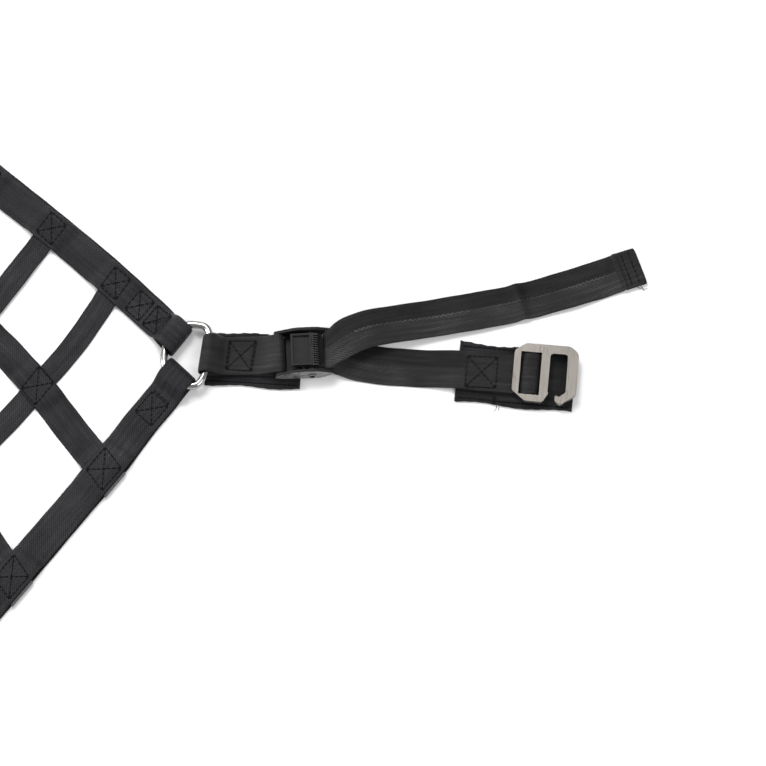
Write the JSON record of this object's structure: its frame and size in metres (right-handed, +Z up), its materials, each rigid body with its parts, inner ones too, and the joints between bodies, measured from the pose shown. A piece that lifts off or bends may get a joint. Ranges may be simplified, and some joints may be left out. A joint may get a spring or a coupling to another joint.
{
  "type": "webbing storage net with a buckled strap and flat hook at each corner",
  "caption": "Flat lattice of sewn webbing for holding stored goods down, with rings, cam-buckle straps and flat hooks at its corners.",
  "frame": {"origin": "middle of the object's box, at the surface that it lies on", "axes": "+Z up from the surface; +X along the strap of the corner that the picture shows; +Y away from the picture's viewer"},
  "size_m": [1.1828, 1.2412, 0.0145],
  "materials": {
    "webbing": "black woven polyester webbing, matt with a slight sheen",
    "nickel": "nickel-plated steel, brushed on the hook and bright on the ring",
    "buckle_black": "black coated die-cast metal, half gloss"
  },
  "bodies": {
    "net": {"cross_strap_1": "webbing", "cross_strap_2": "webbing", "cross_strap_3": "webbing", "cross_strap_4": "webbing", "cross_strap_5": "webbing", "cross_strap_6": "webbing", "cross_strap_7": "webbing", "long_strap_1": "webbing", "long_strap_2": "webbing", "long_strap_3": "webbing", "long_strap_4": "webbing", "border_upper": "webbing", "border_lower": "webbing", "border_rear": "webbing", "border_side": "webbing", "ring_1": "nickel", "loop_1": "webbing", "loop_pad_1": "webbing", "buckle_1": "buckle_black", "pin_1": "nickel", "strap_1": "webbing", "hook_pad_1": "webbing", "hook_1": "nickel", "ring_2": "nickel", "loop_2": "webbing", "loop_pad_2": "webbing", "buckle_2": "buckle_black", "pin_2": "nickel", "strap_2": "webbing", "hook_pad_2": "webbing", "hook_2": "nickel", "ring_3": "nickel", "loop_3": "webbing", "loop_pad_3": "webbing", "buckle_3": "buckle_black", "pin_3": "nickel", "strap_3": "webbing", "hook_pad_3": "webbing", "hook_3": "nickel", "ring_4": "nickel", "loop_4": "webbing", "loop_pad_4": "webbing", "buckle_4": "buckle_black", "pin_4": "nickel", "strap_4": "webbing", "hook_pad_4": "webbing", "hook_4": "nickel"},
    "lever_1": {"lever_1": "buckle_black"},
    "lever_2": {"lever_2": "buckle_black"},
    "lever_3": {"lever_3": "buckle_black"},
    "lever_4": {"lever_4": "buckle_black"}
  },
  "joints": [
    {"name": "lever_1_release", "type": "hinge", "parent": "net", "child": "lever_1", "pos_m": [0.38173, 0.01617, 0.0065], "axis": [0.0436, -0.999, 0], "range_deg": [0, 18], "stiffness_Nm_per_rad": 0.03, "springref_deg": -28.65},
    {"name": "lever_2_release", "type": "hinge", "parent": "net", "child": "lever_2", "pos_m": [-0.03098, 0.4109, 0.0065], "axis": [0.999, 0.0436, 0], "range_deg": [0, 18], "stiffness_Nm_per_rad": 0.03, "springref_deg": -28.65},
    {"name": "lever_3_release", "type": "hinge", "parent": "net", "child": "lever_3", "pos_m": [-0.38173, -0.01617, 0.0065], "axis": [-0.0436, 0.999, 0], "range_deg": [0, 18], "stiffness_Nm_per_rad": 0.03, "springref_deg": -28.65},
    {"name": "lever_4_release", "type": "hinge", "parent": "net", "child": "lever_4", "pos_m": [0.03098, -0.4109, 0.0065], "axis": [-0.999, -0.0436, 0], "range_deg": [0, 18], "stiffness_Nm_per_rad": 0.03, "springref_deg": -28.65}
  ]
}
